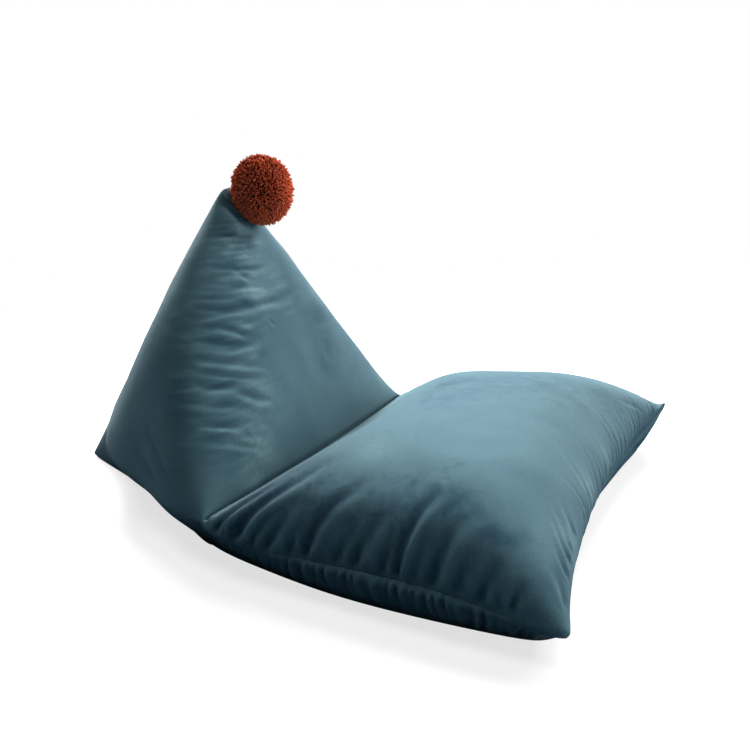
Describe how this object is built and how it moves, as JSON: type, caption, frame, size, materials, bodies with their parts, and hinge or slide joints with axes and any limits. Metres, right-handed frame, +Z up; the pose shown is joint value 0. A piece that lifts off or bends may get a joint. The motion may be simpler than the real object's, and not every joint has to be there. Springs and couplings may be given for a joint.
{
  "type": "floor pouf with pointed back and pompom",
  "caption": "Child's low velvet floor pouf: a pillow-like seat with a deep crease before a pointed, forward-leaning back, and a round yarn pompom sewn at its tip.",
  "frame": {"origin": "on the floor under the middle of the whole pouf's box", "axes": "+X across the seat, -Y towards the front of the seat, +Y towards the back's rear seam, +Z up"},
  "size_m": [0.6046, 0.908, 0.4845],
  "materials": {
    "velvet": "short-pile velvet, matt with a pale sheen",
    "yarn": "cut wool yarn, matt"
  },
  "bodies": {
    "root": {"velvet_bag": "velvet", "pompom": "yarn"}
  },
  "joints": []
}
